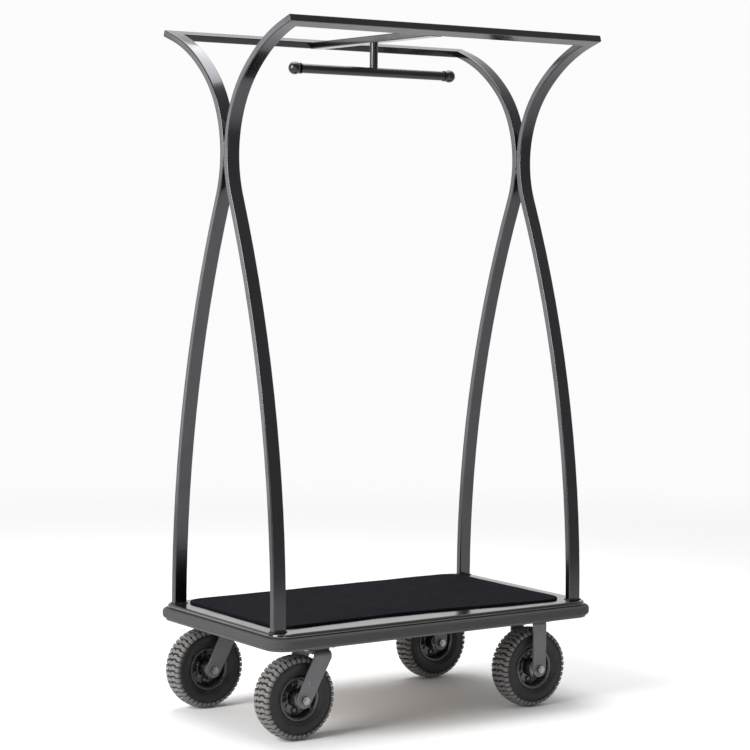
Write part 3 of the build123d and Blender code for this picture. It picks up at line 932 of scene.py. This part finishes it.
    def rim(self) -> None:
        """Make the pressed rim: rolled flanges, a flat web with dished bosses, and the hub."""
        node = f"caster_{self.word}_rim"
        profile = [*self.rim_half, *((radius, -y) for radius, y in reversed(self.rim_half))]
        bm = bmesh.new()
        lathe(bm, profile + profile[:1], self.rim_steps)
        for i in range(self.bosses):
            turn = Matrix.Rotation(math.tau * i / self.bosses, 4, "Y")
            for side in (1, -1):
                known = set(bm.verts)
                lathe(bm, [(radius, side * y) for radius, y in self.boss_cup],
                      self.boss_steps)
                new = [v for v in bm.verts if v not in known]
                place = turn @ Matrix.Translation((self.boss_ring, 0, 0))
                bmesh.ops.transform(bm, matrix=place, verts=new)
        bmesh.ops.translate(bm, vec=self.centre, verts=bm.verts[:])
        piece(f"{node}_pressed", bm, Finishes.RIM, self.body, [node], 40)

    def build(self) -> None:
        """Make the wheel's tyre and rim."""
        self.tyre()
        self.rim()


# --- Sheet-metal brackets -------------------------------------------------------------------
@dataclass
class Brackets:
    """The forks, pressed from thick plate, with their cut edges softened."""

    offset: float = 0.0009
    sharp: float = math.radians(50)
    flat: float = math.radians(0.5)
    seam: float = 2e-5

    def soften(self, node: str, body: str, finish: Finishes) -> None:
        """Copy a node's shape, merge its loose faces and round its sharp edges.

        Args:
            node: The frame node.
            body: The body that it rides on.
            finish: Its finish.
        """
        bm = bmesh.new()
        bm.from_mesh(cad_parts[node].data)
        bmesh.ops.remove_doubles(bm, verts=bm.verts[:], dist=self.seam)
        bmesh.ops.dissolve_limit(bm, angle_limit=self.flat, use_dissolve_boundaries=False,
                                 verts=bm.verts[:], edges=bm.edges[:])
        sharp = [e for e in bm.edges if e.is_manifold and e.calc_face_angle(0) > self.sharp]
        bmesh.ops.bevel(bm, geom=sharp, offset=self.offset, offset_type="OFFSET", segments=2,
                        profile=0.5, affect="EDGES", material=-1, clamp_overlap=True)
        piece(f"{node}_soft_edged", bm, finish, body, [node], 30)

    def build(self) -> None:
        """Soften every fork."""
        for word in ("front_left", "back_left", "front_right", "back_right"):
            body = f"swivel_{word}" if "left" in word else "chassis"
            self.soften(f"caster_{word}_fork", body, Finishes.FORK)


# --- Nodes that keep their shape ------------------------------------------------------------
class Dressing:
    """Puts a finish on every frame node that keeps its own shape."""

    rules: tuple[tuple[str, Finishes], ...] = (
        ("deck_frame", Finishes.DECK), ("deck_board", Finishes.BOARD),
        ("bumper", Finishes.BUMPER), ("cross_member", Finishes.CHASSIS),
        ("upright_gaskets", Finishes.GASKET), ("upright_plugs", Finishes.ZINC),
        ("upright_bolts", Finishes.ZINC), ("waist_weld", Finishes.TUBE),
        ("hanger", Finishes.HANGER), ("caster_plate", Finishes.ZINC),
        ("rim_bolts", Finishes.BLACK_BOLT), ("rim", Finishes.RIM), ("tyre", Finishes.TYRE),
        ("axle", Finishes.AXLE), ("spacers", Finishes.AXLE), ("kingpin", Finishes.ZINC),
        ("bearings", Finishes.BEARING), ("valve", Finishes.BRASS), ("fork", Finishes.FORK),
        ("plate", Finishes.FORK), ("carpet", Finishes.CARPET), ("", Finishes.TUBE),
    )

    def finish_for(self, name: str) -> Finishes:
        """The first rule whose word is in a node's name."""
        return next(finish for word, finish in self.rules if word in name)

    def build(self) -> None:
        """Dress every node."""
        for name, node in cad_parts.items():
            finish = self.finish_for(name)
            for slot in node.material_slots:
                slot.material = finish.material()
            LOG.info("%s: %s", name, finish.name.lower())


# --- Stage ----------------------------------------------------------------------------------
@dataclass(frozen=True)
class SoftBox:
    """One rectangular light: its place, its two sides and its power in watts."""

    name: str
    place: Point
    size: tuple[float, float]
    power: float


@dataclass
class Stage:
    """A pale floor that fades into a pale surround, soft boxes and the camera."""

    floor_radius: float = 24.0
    look_at: Point = (0.0, 0.0, 1.042)
    distance: float = 6.1395
    yaw: float = math.radians(-34.551)
    pitch: float = math.radians(2.624)
    roll: float = math.radians(0.532)
    lens: float = 107.84
    shift: tuple[float, float] = (-0.0072, -0.0648)
    aim: Point = (0.0, 0.0, 0.8)
    fade: tuple[float, float] = (1.8, 5.5)
    bright_way: Point = (0.57, 0.82, 0.0)
    dim: float = 0.32
    bright: float = 0.99
    seen: float = 0.97
    boxes: tuple[SoftBox, ...] = (
        SoftBox("key", (-5.3, -0.6, 2.95), (2.6, 3.4), 380.0),
        SoftBox("top", (0.4, 1.0, 4.8), (3.2, 3.2), 150.0),
        SoftBox("far", (-4.6, 5.4, 1.2), (2.2, 3.0), 40.0),
        SoftBox("front", (-2.6, -6.0, 0.9), (1.8, 1.8), 34.0),
    )

    def floor(self) -> None:
        """Lay the floor, whose edge fades away."""
        bm = bmesh.new()
        bmesh.ops.create_circle(bm, cap_ends=True, segments=96, radius=self.floor_radius)
        mesh = bpy.data.meshes.new("studio_floor")
        bm.to_mesh(mesh)
        bm.free()
        made = bpy.data.objects.new("studio_floor", mesh)
        bpy.context.scene.collection.objects.link(made)
        paper = bpy.data.materials.new("studio_paper")
        paper.use_nodes = True
        graph = Graph(paper.node_tree)
        length = graph.node("ShaderNodeVectorMath", {"operation": "LENGTH"},
                            {0: graph.place()}).outputs["Value"]
        fade = Signal(graph, length).between(*self.fade)
        matt = graph.node("ShaderNodeBsdfPrincipled", None,
                          {"Base Color": grey(0.9), "Roughness": 0.9,
                           "Specular IOR Level": 0.1})
        clear = graph.node("ShaderNodeBsdfTransparent")
        both = graph.node("ShaderNodeMixShader", None,
                          {0: fade, 1: matt.outputs[0], 2: clear.outputs[0]})
        graph.node("ShaderNodeOutputMaterial", None, {"Surface": both.outputs[0]})
        mesh.materials.append(paper)
        made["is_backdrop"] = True

    def surround(self) -> None:
        """A pale world, dimmer towards the front, that looks even behind the cart."""
        world = bpy.data.worlds.new("studio")
        bpy.context.scene.world = world
        world.use_nodes = True
        graph = Graph(world.node_tree)
        way = graph.node("ShaderNodeTexCoord").outputs["Generated"]
        facing = graph.node("ShaderNodeVectorMath", {"operation": "DOT_PRODUCT"},
                            {0: way, 1: self.bright_way}).outputs["Value"]
        glow = Signal(graph, facing).between(-0.35, 0.95) * (self.bright - self.dim) + self.dim
        seen = Signal(graph, graph.node("ShaderNodeLightPath").outputs["Is Camera Ray"])
        back = graph.node("ShaderNodeBackground", None,
                          {"Color": grey(1.0), "Strength": glow * (1 - seen) + seen * self.seen})
        graph.node("ShaderNodeOutputWorld", None, {"Surface": back.outputs[0]})

    def lights(self) -> None:
        """Hang the soft boxes, each facing the cart."""
        for box in self.boxes:
            lamp = bpy.data.lights.new(f"soft_box_{box.name}", "AREA")
            lamp.shape = "RECTANGLE"
            lamp.size, lamp.size_y = box.size
            lamp.energy = box.power
            made = bpy.data.objects.new(lamp.name, lamp)
            made.location = box.place
            way = Vector(self.aim) - Vector(box.place)
            made.rotation_euler = way.to_track_quat("-Z", "Y").to_euler()
            bpy.context.scene.collection.objects.link(made)

    def camera(self) -> None:
        """Stand the camera off the front left, near deck height."""
        level = math.cos(self.pitch)
        back = Vector((math.sin(self.yaw) * level, -math.cos(self.yaw) * level,
                       math.sin(self.pitch)))
        right = Vector((math.cos(self.yaw), math.sin(self.yaw), 0))
        up = back.cross(right)
        tilt = Matrix.Rotation(self.roll, 3, back)
        right, up = tilt @ right, tilt @ up
        data = bpy.data.cameras.new("camera")
        data.lens = self.lens
        data.shift_x, data.shift_y = self.shift
        data.clip_end = 200
        made = bpy.data.objects.new("camera", data)
        place = Matrix((right, up, back)).transposed().to_4x4()
        made.matrix_world = Matrix.Translation(Vector(self.look_at) + back * self.distance) @ place
        bpy.context.scene.collection.objects.link(made)
        bpy.context.scene.camera = made

    def build(self) -> None:
        """Set the whole stage."""
        self.floor()
        self.surround()
        self.lights()
        self.camera()
        bpy.context.scene.view_settings.view_transform = "Standard"


def wheels() -> list[Wheel]:
    """The four wheels at their places."""
    made = []
    for word_x in ("left", "right"):
        for word_y in ("front", "back"):
            word = f"{word_y}_{word_x}"
            low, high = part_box(f"caster_{word}_tyre")
            made.append(Wheel(word, (low + high) / 2, f"wheel_{word}"))
    return made


def write_sizes() -> None:
    """Gather the frame's box and the finished model's box as plain lists."""
    boxes = {"cad": CAD_BOX, "visual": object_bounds()}
    plain = {name: [list(corner) for corner in box] for name, box in boxes.items()}


def main() -> None:
    """Build the cart's pieces in order."""
    logging.basicConfig(level=logging.INFO, format="%(name)s: %(message)s")
    Stage().build()
    Dressing().build()
    TubeFrame().build()
    Carpet().build()
    for wheel in wheels():
        wheel.build()
    Brackets().build()
    write_sizes()


if __name__ == "__main__":
    main()
